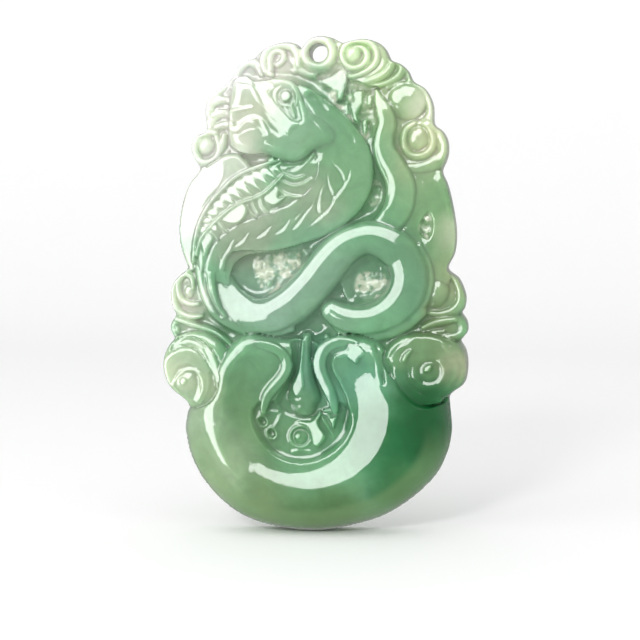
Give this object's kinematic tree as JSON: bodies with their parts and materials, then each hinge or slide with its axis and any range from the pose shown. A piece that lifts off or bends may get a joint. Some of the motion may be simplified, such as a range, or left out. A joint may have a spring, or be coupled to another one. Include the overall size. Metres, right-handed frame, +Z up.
{
  "type": "carved jade pendant",
  "caption": "Carved jade pendant: a coiled snake over a ruyi head, framed by cloud scrolls, with a drilled cord hole at the top.",
  "frame": {"origin": "centre of the cord hole at the flat back face", "axes": "+Z up as worn, along the length; -Y is the way the carved face looks, out of the cord hole; +X to the viewer's right; the back plane is y = 0"},
  "size_m": [0.0366, 0.0088, 0.0592],
  "materials": {
    "jade_pale": "polished",
    "jade_sea": "polished",
    "jade_mid": "polished",
    "jade_olive": "polished",
    "jade_deep": "polished"
  },
  "bodies": {
    "root": {"ground_slab": "jade_mid", "snake_body": "jade_sea", "snake_tail": "jade_sea", "snake_head": "jade_sea", "snake_eye": "jade_pale", "snake_throat": "jade_sea", "snake_belly_scutes": "jade_pale", "snake_hood": "jade_pale", "cloud_scrolls_top": "jade_pale", "cloud_scrolls_left": "jade_pale", "cloud_scrolls_right": "jade_olive", "cloud_bank_right": "jade_olive", "ruyi_body": "jade_deep", "ruyi_left_volute": "jade_mid", "ruyi_right_volute": "jade_mid", "ruyi_left_finger": "jade_mid", "ruyi_right_finger": "jade_mid", "ruyi_drop": "jade_mid", "ruyi_medallion": "jade_mid"}
  },
  "joints": []
}
